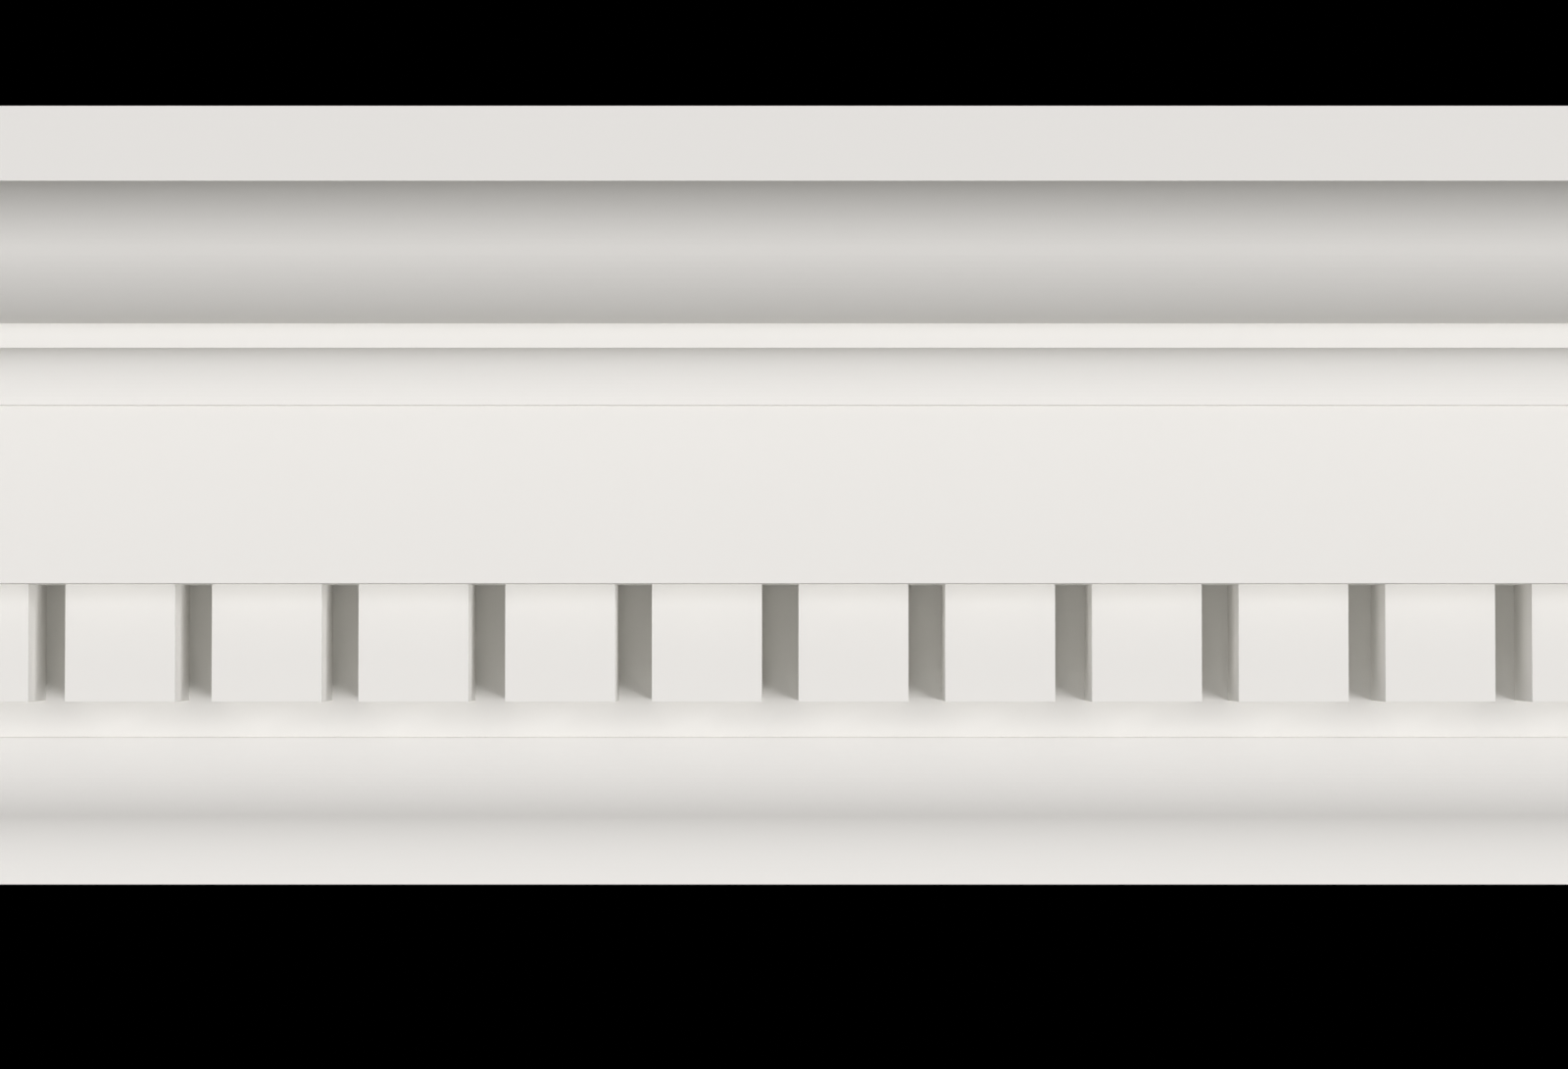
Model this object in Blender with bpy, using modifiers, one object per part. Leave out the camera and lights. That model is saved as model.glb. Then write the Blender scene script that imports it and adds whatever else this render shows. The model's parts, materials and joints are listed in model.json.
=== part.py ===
# Dentil cornice, one plaster casting, cut square at both ends.
#
# X runs along the moulding, -Y points into the room and +Z points up.
# The origin is the middle of the flat that beds on the wall.
# Projections are measured out from the wall and heights up from the moulding's foot.

import math

import bmesh
import bpy
from mathutils import Vector

# Driving sizes in metres, heights from the top of the moulding down

LENGTH = 1.0

FASCIA_HEIGHT = 0.0186
CYMA_HEIGHT = 0.0297
NECK_HEIGHT = 0.0065
COVE_HEIGHT = 0.0143
CORONA_HEIGHT = 0.0478
DENTIL_HEIGHT = 0.0321
BED_HEIGHT = 0.0104
OGEE_HEIGHT = 0.0422

# Depths from the wall out to the front

FOOT_PROJECTION = 0.0060
OGEE_DEPTH = 0.0206
OGEE_LEDGE = 0.0011
DENTIL_DEPTH = 0.0250
CORONA_OVERHANG = 0.0165
COVE_QUIRK = 0.0019
COVE_DEPTH = 0.0124
NECK_LIP = 0.0014
CYMA_QUIRK = 0.0011
CYMA_DEPTH = 0.0595
FASCIA_DRIP = 0.0067

# How far up each double curve its bend reverses, as a share of the curve's whole rise

OGEE_TURN = 0.47
CYMA_TURN = 0.545

# The dentil course, whose blocks are sunk by the root into the bed and the corona

DENTIL_WIDTH = 0.0300
DENTIL_GAP = 0.0100
DENTIL_ROOT = 0.0060

# The flats of the back, which a plain slope joins

WALL_FLAT = 0.0950
CEILING_FLAT = 0.0550

# Facets of each round stretch of the section

CYMA_FACETS = 24
COVE_FACETS = 12
OGEE_FACETS = 20

# Distance in metres under which loose points are welded

WELD_DISTANCE = 0.00001

# Headings in the plane of the section

OUTWARD = 0.0
UPWARD = math.pi / 2

# Matt off-white paint on plaster

PAINT_COLOUR = (0.91, 0.90, 0.88, 1.0)
PAINT_ROUGHNESS = 0.8

# Heights that follow from the driving sizes

DENTIL_BOTTOM = OGEE_HEIGHT + BED_HEIGHT
DENTIL_TOP = DENTIL_BOTTOM + DENTIL_HEIGHT
CORONA_TOP = DENTIL_TOP + CORONA_HEIGHT
COVE_TOP = CORONA_TOP + COVE_HEIGHT
NECK_TOP = COVE_TOP + NECK_HEIGHT
CYMA_TOP = NECK_TOP + CYMA_HEIGHT
DROP = CYMA_TOP + FASCIA_HEIGHT
FOOT_Z = -WALL_FLAT / 2

# Projections that follow from the driving sizes

OGEE_FACE = FOOT_PROJECTION + OGEE_DEPTH
BED_FACE = OGEE_FACE - OGEE_LEDGE
DENTIL_FACE = BED_FACE + DENTIL_DEPTH
CORONA_FACE = DENTIL_FACE + CORONA_OVERHANG
COVE_FOOT = CORONA_FACE + COVE_QUIRK
COVE_LIP = COVE_FOOT + COVE_DEPTH
NECK_FACE = COVE_LIP + NECK_LIP
CYMA_FOOT = NECK_FACE + CYMA_QUIRK
CYMA_NOSE = CYMA_FOOT + CYMA_DEPTH
FASCIA_FACE = CYMA_NOSE + FASCIA_DRIP

# As many whole dentils as leave about half a gap at each end

DENTIL_PITCH = DENTIL_WIDTH + DENTIL_GAP
DENTIL_COUNT = math.floor((LENGTH + DENTIL_GAP / 2) / DENTIL_PITCH)


def clear_scene():
    for old in list(bpy.data.objects):
        bpy.data.objects.remove(old, do_unlink=True)


def add_collection(name):
    collection = bpy.data.collections.new(name)
    bpy.context.scene.collection.children.link(collection)
    return collection


def painted_plaster():
    material = bpy.data.materials.new("painted_plaster")
    material.use_nodes = True
    shader = material.node_tree.nodes["Principled BSDF"]
    shader.inputs["Base Color"].default_value = PAINT_COLOUR
    shader.inputs["Roughness"].default_value = PAINT_ROUGHNESS
    shader.inputs["Metallic"].default_value = 0.0
    material.diffuse_color = PAINT_COLOUR
    return material


def arc(start, end, heading, facets):
    """Points after start of the round arc that leaves it at heading and reaches end."""
    chord = end - start
    half_turn = math.atan2(chord.y, chord.x) - heading
    points = []
    for step in range(1, facets + 1):
        turned = half_turn * step / facets
        reach = chord.length * math.sin(turned) / math.sin(half_turn)
        way = Vector((math.cos(heading + turned), math.sin(heading + turned)))
        points.append(start + reach * way)
    return points


def s_curve(start, end, heading, turn, facets):
    """Points after start of two arcs that leave it and reach end at the same heading."""
    chord = end - start
    reversal = start + turn * chord
    steepest = 2 * math.atan2(chord.y, chord.x) - heading
    lower_arc = arc(start, reversal, heading, facets // 2)
    return lower_arc + arc(reversal, end, steepest, facets // 2)


def hollow(start, end, facets):
    """Points after start of the quarter ellipse that rises from it and turns out to end."""
    depth = end.x - start.x
    height = end.y - start.y
    points = []
    for step in range(1, facets + 1):
        turned = math.pi / 2 * step / facets
        out = depth * (1 - math.cos(turned))
        up = height * math.sin(turned)
        points.append(start + Vector((out, up)))
    return points


def section():
    """Outline as (projection, height), up the front from the foot and down the back."""
    ogee_foot = Vector((FOOT_PROJECTION, 0))
    ogee_top = Vector((OGEE_FACE, OGEE_HEIGHT))
    cove_foot = Vector((COVE_FOOT, CORONA_TOP))
    cove_lip = Vector((COVE_LIP, COVE_TOP))
    cyma_foot = Vector((CYMA_FOOT, NECK_TOP))
    cyma_nose = Vector((CYMA_NOSE, CYMA_TOP))
    ceiling_edge = FASCIA_FACE - CEILING_FLAT

    points = [ogee_foot]
    points += s_curve(ogee_foot, ogee_top, UPWARD, OGEE_TURN, OGEE_FACETS)
    points.append(Vector((BED_FACE, OGEE_HEIGHT)))
    points.append(Vector((BED_FACE, DENTIL_TOP)))
    points.append(Vector((CORONA_FACE, DENTIL_TOP)))
    points.append(Vector((CORONA_FACE, CORONA_TOP)))
    points.append(cove_foot)
    points += hollow(cove_foot, cove_lip, COVE_FACETS)
    points.append(Vector((NECK_FACE, COVE_TOP)))
    points.append(Vector((NECK_FACE, NECK_TOP)))
    points.append(cyma_foot)
    points += s_curve(cyma_foot, cyma_nose, OUTWARD, CYMA_TURN, CYMA_FACETS)
    points.append(Vector((FASCIA_FACE, CYMA_TOP)))
    points.append(Vector((FASCIA_FACE, DROP)))
    points.append(Vector((ceiling_edge, DROP)))
    points.append(Vector((0, WALL_FLAT)))
    points.append(Vector((0, 0)))
    return points


def weld(mesh):
    shape = bmesh.new()
    shape.from_mesh(mesh)
    bmesh.ops.remove_doubles(shape, verts=shape.verts, dist=WELD_DISTANCE)
    shape.to_mesh(mesh)
    shape.free()


def run_out(name, points, collection):
    """A closed mesh of the outline run along X for the whole length."""
    curve = bpy.data.curves.new(name, "CURVE")
    curve.dimensions = "2D"
    curve.fill_mode = "BOTH"
    curve.extrude = LENGTH / 2
    spline = curve.splines.new("POLY")
    spline.points.add(len(points) - 1)
    for corner, point in zip(spline.points, points):
        corner.co = (point.x, point.y, 0, 1)
    spline.use_cyclic_u = True

    guide = bpy.data.objects.new(name + "_curve", curve)
    guide.rotation_euler = (math.radians(90), 0, math.radians(-90))
    guide.location = (0, 0, FOOT_Z)
    collection.objects.link(guide)
    bpy.context.view_layer.update()

    evaluated = guide.evaluated_get(bpy.context.evaluated_depsgraph_get())
    mesh = bpy.data.meshes.new_from_object(evaluated)
    weld(mesh)
    moulding = bpy.data.objects.new(name, mesh)
    moulding.matrix_world = guide.matrix_world.copy()
    collection.objects.link(moulding)
    bpy.data.objects.remove(guide, do_unlink=True)
    return moulding


def add_dentil_blocks(collection):
    """A row of blocks, centred on the length, that stand in the bed and reach up into the corona."""
    back = BED_FACE - DENTIL_ROOT
    top = DENTIL_TOP + DENTIL_ROOT
    size = Vector((DENTIL_WIDTH, DENTIL_FACE - back, top - DENTIL_BOTTOM))
    first_x = -DENTIL_PITCH * (DENTIL_COUNT - 1) / 2
    middle = Vector((first_x, -(DENTIL_FACE + back) / 2, FOOT_Z + (DENTIL_BOTTOM + top) / 2))

    shape = bmesh.new()
    bmesh.ops.create_cube(shape, size=1)
    bmesh.ops.scale(shape, vec=size, verts=shape.verts)
    mesh = bpy.data.meshes.new("dentil_blocks")
    shape.to_mesh(mesh)
    shape.free()
    blocks = bpy.data.objects.new("dentil_blocks", mesh)
    blocks.location = middle
    blocks.hide_render = True
    blocks.display_type = "WIRE"
    collection.objects.link(blocks)

    row = blocks.modifiers.new("row", "ARRAY")
    row.count = DENTIL_COUNT
    row.use_relative_offset = False
    row.use_constant_offset = True
    row.constant_offset_displace = (DENTIL_PITCH, 0, 0)
    return blocks


def add_dentil_cornice(parts, cutters, material):
    cornice = run_out("dentil_cornice", section(), parts)
    cornice.data.materials.append(material)
    planted = cornice.modifiers.new("dentils", "BOOLEAN")
    planted.operation = "UNION"
    planted.solver = "EXACT"
    planted.object = add_dentil_blocks(cutters)
    return cornice


def main():
    clear_scene()
    parts = add_collection("dentil_moulding")
    cutters = add_collection("cutters")
    add_dentil_cornice(parts, cutters, painted_plaster())


main()
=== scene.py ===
# A metre of dentil cornice, cast in gypsum plaster. Its moulded face has matt off-white
# paint. The back, the ceiling flat and the two sawn ends are bare plaster.

import json
import math

import bpy
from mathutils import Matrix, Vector

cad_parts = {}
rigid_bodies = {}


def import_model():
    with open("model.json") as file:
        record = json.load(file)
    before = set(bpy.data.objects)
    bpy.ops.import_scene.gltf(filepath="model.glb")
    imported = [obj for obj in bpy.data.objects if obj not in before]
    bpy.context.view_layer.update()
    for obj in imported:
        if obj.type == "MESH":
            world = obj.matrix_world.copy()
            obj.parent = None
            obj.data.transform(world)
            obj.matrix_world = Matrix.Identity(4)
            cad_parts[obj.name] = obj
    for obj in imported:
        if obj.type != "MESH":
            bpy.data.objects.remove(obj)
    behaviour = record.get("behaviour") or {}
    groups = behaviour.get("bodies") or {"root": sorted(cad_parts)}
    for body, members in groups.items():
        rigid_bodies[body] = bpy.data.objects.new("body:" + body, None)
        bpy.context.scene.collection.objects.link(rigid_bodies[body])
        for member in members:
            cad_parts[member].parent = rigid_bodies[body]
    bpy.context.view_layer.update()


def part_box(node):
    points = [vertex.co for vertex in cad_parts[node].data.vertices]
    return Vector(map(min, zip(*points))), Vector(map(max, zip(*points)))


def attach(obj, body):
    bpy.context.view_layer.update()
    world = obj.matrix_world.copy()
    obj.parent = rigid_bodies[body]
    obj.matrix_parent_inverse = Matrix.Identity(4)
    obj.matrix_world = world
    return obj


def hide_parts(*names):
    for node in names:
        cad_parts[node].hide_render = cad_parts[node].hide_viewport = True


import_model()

LOWEST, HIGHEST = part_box("dentil_cornice")
MM = 0.001

# Members of the section, from the fascia down to the foot, the same sizes as the solid's

CYMA_HEIGHT = 29.7 * MM
NECK_HEIGHT = 6.5 * MM
COVE_HEIGHT = 14.3 * MM
CORONA_HEIGHT = 47.8 * MM
DENTIL_HEIGHT = 32.1 * MM
BED_HEIGHT = 10.4 * MM
OGEE_HEIGHT = 42.2 * MM

# How far each member stands out from the one below it

FOOT_PROJECTION = 6.0 * MM
OGEE_DEPTH = 20.6 * MM
OGEE_LEDGE = 1.1 * MM
DENTIL_DEPTH = 25.0 * MM
CORONA_OVERHANG = 16.5 * MM
COVE_QUIRK = 1.9 * MM
COVE_DEPTH = 12.4 * MM
NECK_LIP = 1.4 * MM
CYMA_QUIRK = 1.1 * MM
CYMA_DEPTH = 59.5 * MM

# How far up each double curve its bend reverses, as a share of the curve's whole rise

OGEE_TURN = 0.47
CYMA_TURN = 0.545

# Dentils along the run, and the two flats that meet the wall and the ceiling

DENTIL_WIDTH = 30.0 * MM
DENTIL_GAP = 10.0 * MM
DENTIL_ROOT = 6.0 * MM
WALL_FLAT = 95.0 * MM
CEILING_FLAT = 55.0 * MM

# The mould leaves each arris very slightly round, and more coats of paint fill the quirks

ARRIS_RADIUS = 0.08 * MM
ARRIS_STEPS = 3
CURVE_STEPS = 40
SMOOTH_TURN = math.radians(32)
NEARNESS = 0.01 * MM

# Places that follow from the frame and the members

LENGTH = HIGHEST.x - LOWEST.x
LEFT_END = LOWEST.x
WALL = HIGHEST.y
FOOT = LOWEST.z
DROP = HIGHEST.z - LOWEST.z
FASCIA_FACE = HIGHEST.y - LOWEST.y

DENTIL_BOTTOM = OGEE_HEIGHT + BED_HEIGHT
DENTIL_TOP = DENTIL_BOTTOM + DENTIL_HEIGHT
CORONA_TOP = DENTIL_TOP + CORONA_HEIGHT
COVE_TOP = CORONA_TOP + COVE_HEIGHT
NECK_TOP = COVE_TOP + NECK_HEIGHT
CYMA_TOP = NECK_TOP + CYMA_HEIGHT
BED_FACE = FOOT_PROJECTION + OGEE_DEPTH - OGEE_LEDGE
DENTIL_FACE = BED_FACE + DENTIL_DEPTH
CORONA_FACE = DENTIL_FACE + CORONA_OVERHANG
COVE_FOOT = CORONA_FACE + COVE_QUIRK
COVE_LIP = COVE_FOOT + COVE_DEPTH
NECK_FACE = COVE_LIP + NECK_LIP
CYMA_FOOT = NECK_FACE + CYMA_QUIRK
CYMA_NOSE = CYMA_FOOT + CYMA_DEPTH
DENTIL_PITCH = DENTIL_WIDTH + DENTIL_GAP
DENTIL_COUNT = round(LENGTH / DENTIL_PITCH)

UPWARD = math.pi / 2
OUTWARD = 0.0


def deselect_all():
    for item in bpy.context.scene.objects:
        item.select_set(False)


def make_active(item):
    deselect_all()
    item.select_set(True)
    bpy.context.view_layer.objects.active = item


def bake_place(item):
    """Puts the object at the origin, unturned and unscaled, with its place in its mesh."""
    make_active(item)
    bpy.ops.object.transform_apply(location=True, rotation=True, scale=True)


def apply_modifier(item, name, kind, settings):
    modifier = item.modifiers.new(name, kind)
    for setting, value in settings.items():
        setattr(modifier, setting, value)
    make_active(item)
    bpy.ops.object.modifier_apply(modifier=name)


class Template:
    """A running mould's plate. One vertex is drawn round the outline of the section."""

    def __init__(self, projection, height):
        deselect_all()
        self.at = Vector((projection, height))
        self.soft_corners = []
        bpy.ops.mesh.primitive_plane_add(size=MM, location=self.place(self.at))
        self.item = bpy.context.object
        self.item.name = "cornice"
        bpy.ops.object.mode_set(mode="EDIT")
        bpy.ops.mesh.merge(type="CENTER")

    def place(self, point):
        return Vector((LEFT_END, WALL - point.x, FOOT + point.y))

    def straight(self, projection, height):
        to = Vector((projection, height))
        step = self.place(to) - self.place(self.at)
        bpy.ops.mesh.extrude_region_move(TRANSFORM_OT_translate={"value": step})
        self.at = to

    def soften(self):
        """Notes the point just reached as a corner that will be softened."""
        self.soft_corners.append(self.place(self.at))

    def arris(self, projection, height):
        self.straight(projection, height)
        self.soften()

    def arc(self, projection, height, heading):
        """A round arc that leaves at heading. Returns the heading at which it arrives."""
        to = Vector((projection, height))
        chord = to - self.at
        half_turn = math.atan2(chord.y, chord.x) - heading
        radius = chord.length / (2 * math.sin(half_turn))
        centre = self.at + radius * Vector((-math.sin(heading), math.cos(heading)))
        bpy.ops.mesh.spin(
            steps=CURVE_STEPS // 2,
            angle=2 * half_turn,
            center=self.place(centre),
            axis=(1, 0, 0),
        )
        self.at = to
        return heading + 2 * half_turn

    def s_curve(self, projection, height, heading, turn):
        """Two arcs, one hollow and one round, that leave and arrive at heading."""
        reversal = self.at.lerp(Vector((projection, height)), turn)
        steepest = self.arc(reversal.x, reversal.y, heading)
        self.arc(projection, height, steepest)

    def hollow(self, projection, height):
        """A quarter ellipse that leaves upward and arrives outward."""
        start = self.at.copy()
        span = Vector((projection, height)) - start
        steps = CURVE_STEPS // 2
        for step in range(1, steps + 1):
            turned = math.pi / 2 * step / steps
            out = span.x * (1 - math.cos(turned))
            up = span.y * math.sin(turned)
            self.straight(start.x + out, start.y + up)

    def close(self, projection, height):
        self.straight(projection, height)
        bpy.ops.mesh.select_all(action="SELECT")
        bpy.ops.mesh.remove_doubles(threshold=NEARNESS)
        bpy.ops.mesh.edge_face_add()
        bpy.ops.object.mode_set(mode="OBJECT")


def draw_section():
    """The section at the left end, from the wall out to the foot and up to the ceiling."""
    plate = Template(0, 0)
    plate.arris(FOOT_PROJECTION, 0)
    plate.s_curve(BED_FACE + OGEE_LEDGE, OGEE_HEIGHT, UPWARD, OGEE_TURN)
    plate.soften()
    plate.arris(BED_FACE, OGEE_HEIGHT)
    plate.arris(BED_FACE, DENTIL_TOP)
    plate.arris(CORONA_FACE, DENTIL_TOP)
    plate.arris(CORONA_FACE, CORONA_TOP)
    plate.arris(COVE_FOOT, CORONA_TOP)
    plate.hollow(COVE_LIP, COVE_TOP)
    plate.arris(NECK_FACE, COVE_TOP)
    plate.arris(NECK_FACE, NECK_TOP)
    plate.straight(CYMA_FOOT, NECK_TOP)
    plate.s_curve(CYMA_NOSE, CYMA_TOP, OUTWARD, CYMA_TURN)
    plate.arris(FASCIA_FACE, CYMA_TOP)
    plate.arris(FASCIA_FACE, DROP)
    plate.straight(FASCIA_FACE - CEILING_FLAT, DROP)
    plate.straight(0, WALL_FLAT)
    plate.close(0, 0)
    return plate


def run_cornice():
    """The section with its arrises softened, pulled out along the whole length."""
    plate = draw_section()
    section = plate.item
    for vertex in section.data.vertices:
        place = section.matrix_world @ vertex.co
        vertex.select = any((place - corner).length < NEARNESS for corner in plate.soft_corners)
    bpy.ops.object.mode_set(mode="EDIT")
    bpy.ops.mesh.select_mode(type="VERT")
    bpy.ops.mesh.bevel(offset=ARRIS_RADIUS, segments=ARRIS_STEPS, affect="VERTICES")
    bpy.ops.mesh.select_all(action="SELECT")
    bpy.ops.mesh.extrude_region_move(TRANSFORM_OT_translate={"value": (LENGTH, 0, 0)})
    bpy.ops.mesh.select_all(action="SELECT")
    bpy.ops.mesh.normals_make_consistent(inside=False)
    bpy.ops.object.mode_set(mode="OBJECT")
    bake_place(section)
    return section


def add_dentil(x):
    """One block, let in to the bed behind it and the corona above, with softened arrises."""
    back = BED_FACE - DENTIL_ROOT
    top = DENTIL_TOP + DENTIL_ROOT
    deselect_all()
    bpy.ops.mesh.primitive_cube_add(
        size=1,
        location=(x, WALL - (DENTIL_FACE + back) / 2, FOOT + (DENTIL_BOTTOM + top) / 2),
        scale=(DENTIL_WIDTH, DENTIL_FACE - back, top - DENTIL_BOTTOM),
    )
    dentil = bpy.context.object
    dentil.name = "dentil"
    bake_place(dentil)
    bpy.ops.object.mode_set(mode="EDIT")
    bpy.ops.mesh.select_all(action="DESELECT")
    bpy.ops.object.mode_set(mode="OBJECT")
    vertices = dentil.data.vertices
    front = WALL - DENTIL_FACE
    underside = FOOT + DENTIL_BOTTOM
    for edge in dentil.data.edges:
        ends = [vertices[index].co for index in edge.vertices]
        on_front = all(abs(end.y - front) < NEARNESS for end in ends)
        underneath = all(abs(end.z - underside) < NEARNESS for end in ends)
        edge.select = on_front or underneath
    bpy.ops.object.mode_set(mode="EDIT")
    bpy.ops.mesh.select_mode(type="EDGE")
    bpy.ops.mesh.bevel(offset=ARRIS_RADIUS, segments=ARRIS_STEPS, affect="EDGES")
    bpy.ops.object.mode_set(mode="OBJECT")
    return dentil


def add_dentil_row():
    """The first dentil and its copies, set out evenly about the middle of the run."""
    first = add_dentil(-DENTIL_PITCH * (DENTIL_COUNT - 1) / 2)
    row = [first]
    for number in range(1, DENTIL_COUNT):
        make_active(first)
        bpy.ops.object.duplicate(linked=False)
        bpy.ops.transform.translate(value=(number * DENTIL_PITCH, 0, 0))
        row.append(bpy.context.object)
    for item in row:
        item.select_set(True)
    bpy.context.view_layer.objects.active = first
    bpy.ops.object.join()
    bake_place(first)
    return first


def cast_cornice():
    """The run and its dentils as one casting."""
    cornice = run_cornice()
    row = add_dentil_row()
    settings = {"operation": "UNION", "solver": "EXACT", "object": row}
    apply_modifier(cornice, "planted", "BOOLEAN", settings)
    bpy.data.objects.remove(row, do_unlink=True)
    return cornice


def linear(hex_colour):
    """An sRGB hex colour as linear red, green, blue and alpha."""
    channels = []
    for start in (0, 2, 4):
        value = int(hex_colour[start:start + 2], 16) / 255
        if value <= 0.04045:
            channels.append(value / 12.92)
        else:
            channels.append(((value + 0.055) / 1.055) ** 2.4)
    return (*channels, 1.0)


def add_node(tree, kind, settings, links):
    """A node with its settings, and its inputs either set to values or linked to sockets."""
    node = tree.nodes.new(kind)
    for name, value in settings.items():
        setattr(node, name, value)
    for name, value in links.items():
        if isinstance(value, bpy.types.NodeSocket):
            tree.links.new(value, node.inputs[name])
        else:
            node.inputs[name].default_value = value
    return node


def new_material(name):
    """A new material with its node tree and its shader."""
    material = bpy.data.materials.new(name)
    material.use_nodes = True
    tree = material.node_tree
    return material, tree, tree.nodes["Principled BSDF"]


def matt_emulsion():
    """Matt emulsion rolled on to sealed plaster. The eye gets an even, chalky off-white with
    hardly any sheen, a stipple about a millimetre across and a slight drag along the run."""
    cloud_size = 70 * MM
    stipple_size = 0.9 * MM
    stipple_rise = 0.006 * MM
    drag_length = 90 * MM
    drag_width = 1.4 * MM
    drag_rise = 0.008 * MM
    faint_shine = 0.1
    fuller_coat = 0.82
    thinner_coat = 0.90
    material, tree, shader = new_material("matt_emulsion")
    place = add_node(tree, "ShaderNodeTexCoord", {}, {}).outputs["Object"]
    cloud = add_node(
        tree, "ShaderNodeTexNoise", {},
        {"Vector": place, "Scale": 1 / cloud_size, "Detail": 4.0, "Roughness": 0.55},
    )
    colour = add_node(
        tree, "ShaderNodeMixRGB", {},
        {"Fac": cloud.outputs["Fac"], "Color1": linear("F9F8F4"), "Color2": linear("F8F7F3")},
    )
    sheen = add_node(
        tree, "ShaderNodeMapRange", {},
        {"Value": cloud.outputs["Fac"], "To Min": fuller_coat, "To Max": thinner_coat},
    )
    along_run = add_node(
        tree, "ShaderNodeMapping", {},
        {"Vector": place, "Scale": (1 / drag_length, 1 / drag_width, 1 / drag_width)},
    )
    drag = add_node(
        tree, "ShaderNodeTexNoise", {},
        {"Vector": along_run.outputs["Vector"], "Scale": 1.0, "Detail": 2.0},
    )
    stipple = add_node(
        tree, "ShaderNodeTexNoise", {},
        {"Vector": place, "Scale": 1 / stipple_size, "Detail": 2.0},
    )
    dragged = add_node(
        tree, "ShaderNodeBump", {}, {"Distance": drag_rise, "Height": drag.outputs["Fac"]}
    )
    stippled = add_node(
        tree, "ShaderNodeBump", {},
        {
            "Distance": stipple_rise,
            "Height": stipple.outputs["Fac"],
            "Normal": dragged.outputs["Normal"],
        },
    )
    shader.inputs["Specular IOR Level"].default_value = faint_shine
    tree.links.new(colour.outputs["Color"], shader.inputs["Base Color"])
    tree.links.new(sheen.outputs["Result"], shader.inputs["Roughness"])
    tree.links.new(stippled.outputs["Normal"], shader.inputs["Normal"])
    return material


def bare_gypsum(name, pale, dark, mark_size, mark_depth, hole_spacing):
    """Unpainted gypsum plaster: chalky and creamier than the paint, clouded where it dried
    unevenly, marked by the tool that worked it and pricked with small air holes, whose insides
    are painted darker as painted shade."""
    cloud_size = 35 * MM
    hole_depth = 0.5 * MM
    hole_radius = 0.06
    hole_rim = 0.13
    chalky = 0.92
    material, tree, shader = new_material(name)
    place = add_node(tree, "ShaderNodeTexCoord", {}, {}).outputs["Object"]
    cloud = add_node(
        tree, "ShaderNodeTexNoise", {},
        {"Vector": place, "Scale": 1 / cloud_size, "Detail": 6.0, "Roughness": 0.6},
    )
    clouded = add_node(
        tree, "ShaderNodeMixRGB", {},
        {"Fac": cloud.outputs["Fac"], "Color1": linear(pale), "Color2": linear(dark)},
    )
    cells = add_node(
        tree, "ShaderNodeTexVoronoi", {"feature": "F1"},
        {"Vector": place, "Scale": 1 / hole_spacing},
    )
    solid = add_node(
        tree, "ShaderNodeMapRange", {},
        {"Value": cells.outputs["Distance"], "From Min": hole_radius, "From Max": hole_rim},
    )
    # Painted shade: the air holes are coloured a darker tan than the plaster, standing in for
    # the shade inside each pit
    colour = add_node(
        tree, "ShaderNodeMixRGB", {},
        {
            "Fac": solid.outputs["Result"],
            "Color1": linear("B9B2A3"),
            "Color2": clouded.outputs["Color"],
        },
    )
    worked = add_node(
        tree, "ShaderNodeMapping", {},
        {"Vector": place, "Scale": [1 / size for size in mark_size]},
    )
    marks = add_node(
        tree, "ShaderNodeTexNoise", {},
        {"Vector": worked.outputs["Vector"], "Scale": 1.0, "Detail": 3.0},
    )
    marked = add_node(
        tree, "ShaderNodeBump", {}, {"Distance": mark_depth, "Height": marks.outputs["Fac"]}
    )
    pricked = add_node(
        tree, "ShaderNodeBump", {},
        {
            "Distance": hole_depth,
            "Height": solid.outputs["Result"],
            "Normal": marked.outputs["Normal"],
        },
    )
    shader.inputs["Roughness"].default_value = chalky
    tree.links.new(colour.outputs["Color"], shader.inputs["Base Color"])
    tree.links.new(pricked.outputs["Normal"], shader.inputs["Normal"])
    return material


def struck_gypsum():
    """The back and the ceiling flat, struck off with a rule while wet: long low ridges."""
    ridges = (160 * MM, 3.5 * MM, 3.5 * MM)
    return bare_gypsum("struck_gypsum", "E7E3D9", "DCD6C9", ridges, 0.25 * MM, 9 * MM)


def sawn_gypsum():
    """The ends, sawn dry: paler and chalkier, with fine teeth marks down the cut."""
    teeth = (1.2 * MM, 1.2 * MM, 60 * MM)
    return bare_gypsum("sawn_gypsum", "ECE9E1", "E2DDD2", teeth, 0.12 * MM, 6 * MM)


def finish_surfaces(cornice):
    """Paint on the moulded face, and bare plaster on the back, the ceiling flat and the ends."""
    mesh = cornice.data
    mesh.materials.clear()
    finishes = (matt_emulsion(), struck_gypsum(), sawn_gypsum())
    for finish in finishes:
        mesh.materials.append(finish)
    painted, struck, sawn = range(len(finishes))
    facing_out = 0.99
    for face in mesh.polygons:
        at_end = LENGTH / 2 - abs(face.center.x) < NEARNESS
        at_ceiling = HIGHEST.z - face.center.z < NEARNESS
        face.material_index = painted
        if at_ceiling or face.normal.y > NEARNESS:
            face.material_index = struck
        if at_end and abs(face.normal.x) > facing_out:
            face.material_index = sawn
    make_active(cornice)
    bpy.ops.object.shade_smooth_by_angle(angle=SMOOTH_TURN)
    settings = {"keep_sharp": True, "weight": 100}
    apply_modifier(cornice, "flat_members", "WEIGHTED_NORMAL", settings)


# The studio: the camera's numbers are in pixels of the whole 1600 pixel wide picture

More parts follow.
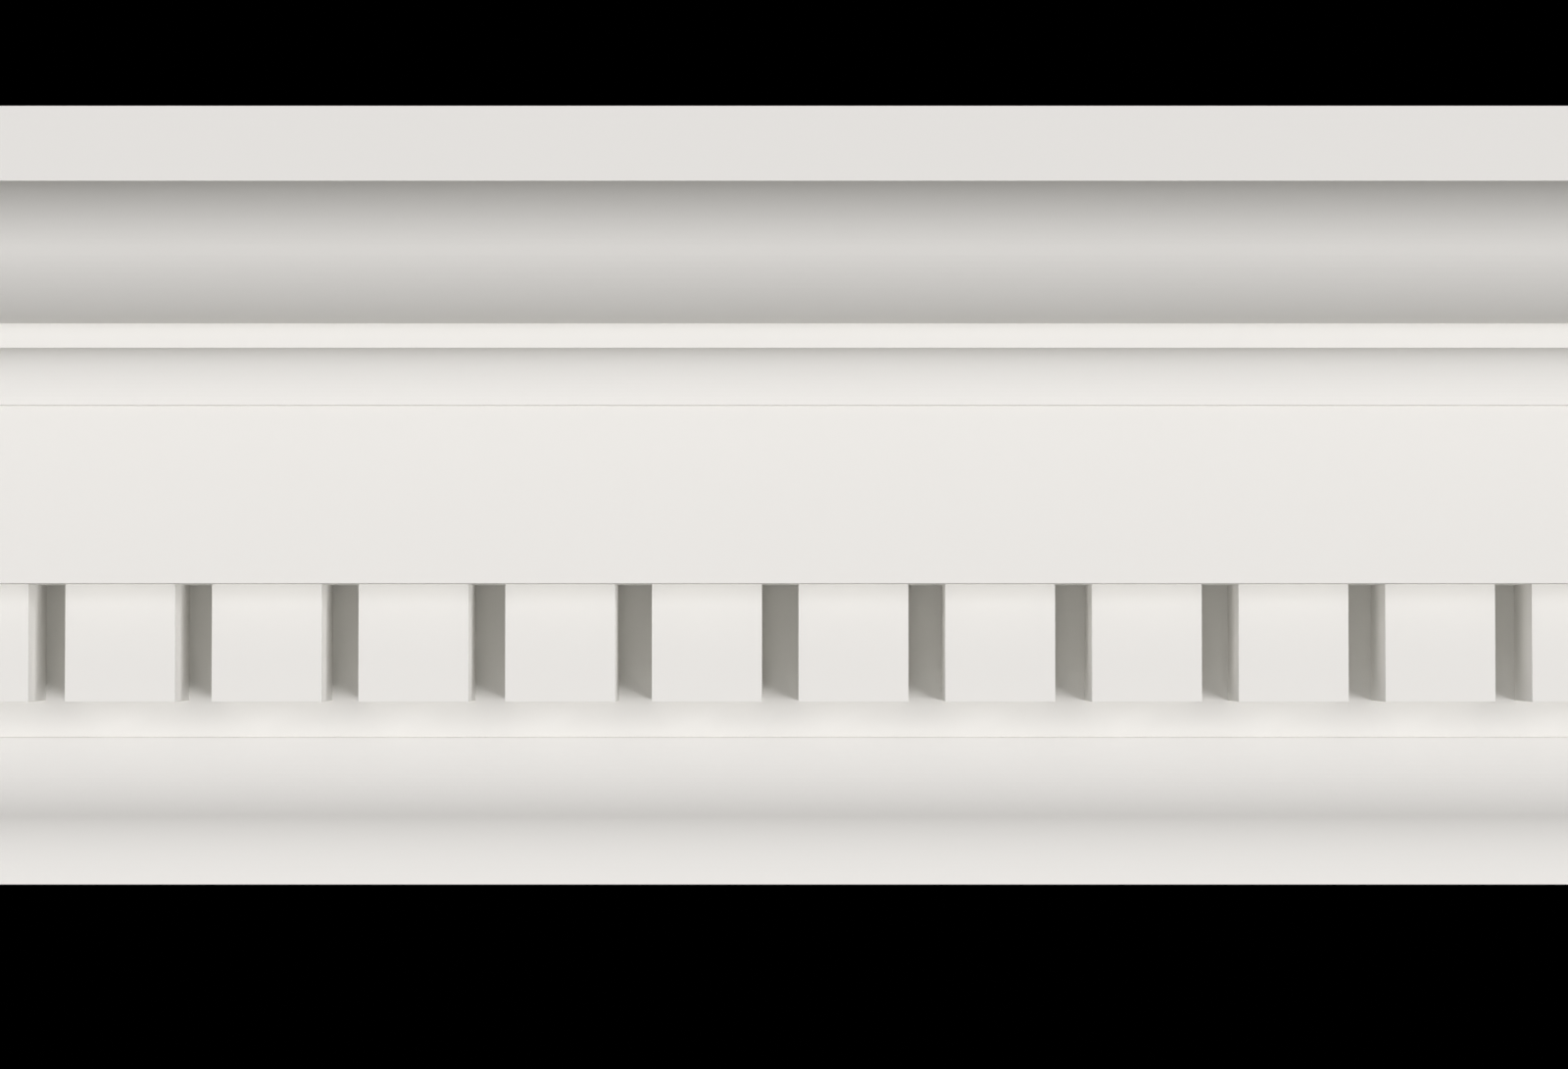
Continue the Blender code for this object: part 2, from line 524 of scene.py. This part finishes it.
FRAME_WIDTH = 1600
MIDDLE_ROW = 545.5
HORIZON_ROW = 650
FOCAL_PIXELS = 3850
DENTIL_PIXELS_PER_METRE = 3740.8
SENSOR_WIDTH = 36.0
CAMERA_X = 21.06 * MM
EYE_ABOVE_DENTIL_FOOT = 17.7 * MM
FLOOR_DROP = 2.4
FLOOR_RADIUS = 18.0
FLOOR_SIDES = 96
LAMP_COLOUR = (1.0, 0.983, 0.993)
FLOOR_GLOW_COLOUR = (1.0, 0.983, 0.95)


def add_camera():
    data = bpy.data.cameras.new("camera")
    data.sensor_width = SENSOR_WIDTH
    data.lens = SENSOR_WIDTH * FOCAL_PIXELS / FRAME_WIDTH
    camera = bpy.data.objects.new("camera", data)
    bpy.context.scene.collection.objects.link(camera)
    distance = FOCAL_PIXELS / DENTIL_PIXELS_PER_METRE
    camera.location = (
        CAMERA_X,
        WALL - DENTIL_FACE - distance,
        FOOT + DENTIL_BOTTOM + EYE_ABOVE_DENTIL_FOOT,
    )
    tilt = math.atan((HORIZON_ROW - MIDDLE_ROW) / FOCAL_PIXELS)
    camera.rotation_euler = (math.pi / 2 + tilt, 0, 0)
    bpy.context.scene.camera = camera


def add_floor():
    """A plain pale floor under the cornice, at the height of a room. It takes no light away from
    below and throws none up."""
    matt = 0.9
    deselect_all()
    bpy.ops.mesh.primitive_circle_add(
        vertices=FLOOR_SIDES,
        radius=FLOOR_RADIUS,
        fill_type="NGON",
        location=(0, 0, FOOT - FLOOR_DROP),
    )
    floor = bpy.context.object
    floor.name = "floor"
    floor.visible_shadow = False
    floor.visible_diffuse = False
    material, tree, shader = new_material("floor_paint")
    shader.inputs["Base Color"].default_value = linear("DEDDDA")
    shader.inputs["Roughness"].default_value = matt
    floor.data.materials.append(material)


def add_world():
    """A black room, so that only the lamps light the cornice."""
    black = (0, 0, 0, 1)
    world = bpy.data.worlds.new("studio")
    bpy.context.scene.world = world
    world.use_nodes = True
    world.node_tree.nodes["Background"].inputs["Color"].default_value = black
    bpy.context.scene.view_settings.view_transform = "Standard"


def add_lamp(name, colour, azimuth, elevation, spread, strength):
    """A far soft lamp. Azimuth is to the right of straight in front, elevation above level, and
    spread is how wide the lamp looks, all in degrees."""
    data = bpy.data.lights.new(name, "SUN")
    data.angle = math.radians(spread)
    data.energy = strength
    data.color = colour
    lamp = bpy.data.objects.new(name, data)
    bpy.context.scene.collection.objects.link(lamp)
    side = math.radians(azimuth)
    rise = math.radians(elevation)
    outward = math.cos(rise)
    towards = Vector((math.sin(side) * outward, -math.cos(side) * outward, math.sin(rise)))
    lamp.rotation_euler = towards.to_track_quat("Z", "Y").to_euler()


cornice = cast_cornice()
finish_surfaces(cornice)
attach(cornice, "root")
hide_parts("dentil_cornice")

add_camera()
add_floor()
add_world()
add_lamp("key", LAMP_COLOUR, azimuth=33, elevation=-7, spread=20, strength=1.35)
add_lamp("high_key", LAMP_COLOUR, azimuth=45, elevation=7, spread=14, strength=0.86)
add_lamp("fill", LAMP_COLOUR, azimuth=-55, elevation=10, spread=60, strength=0.69)
add_lamp("low", FLOOR_GLOW_COLOUR, azimuth=-17, elevation=-37, spread=60, strength=0.58)
add_lamp("left_back", LAMP_COLOUR, azimuth=-125, elevation=35, spread=30, strength=2.4)
add_lamp("right_back", LAMP_COLOUR, azimuth=130, elevation=25, spread=30, strength=1.8)
